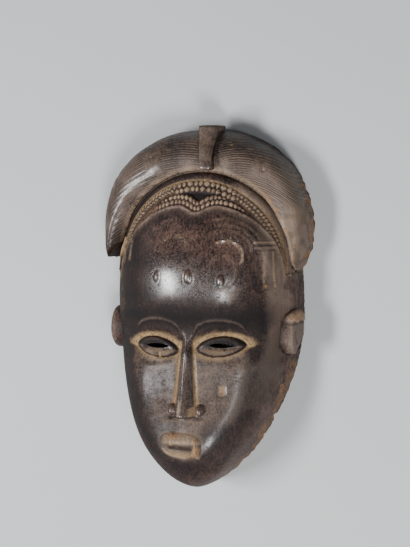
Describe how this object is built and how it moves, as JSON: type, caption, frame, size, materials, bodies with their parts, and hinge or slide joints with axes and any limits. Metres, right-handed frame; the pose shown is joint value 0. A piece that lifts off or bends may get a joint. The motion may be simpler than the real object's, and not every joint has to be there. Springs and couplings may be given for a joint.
{
  "type": "dance mask",
  "caption": "Carved dark wooden dance mask with a narrow crest, combed hair, braided band, slit eyes and a hollow back, lying face up",
  "frame": {"origin": "middle of the bounding box, on the plane of the flat back edge that the mask lies on", "axes": "+X to the right seen from the front, +Y from the chin to the crest, +Z out of the face"},
  "size_m": [0.173, 0.295, 0.0844],
  "materials": {
    "carved_wood": "dark brown to black worn patina, glossy on the forehead, with ochre dirt in the carving"
  },
  "bodies": {
    "root": {"mask": "carved_wood"}
  },
  "joints": []
}
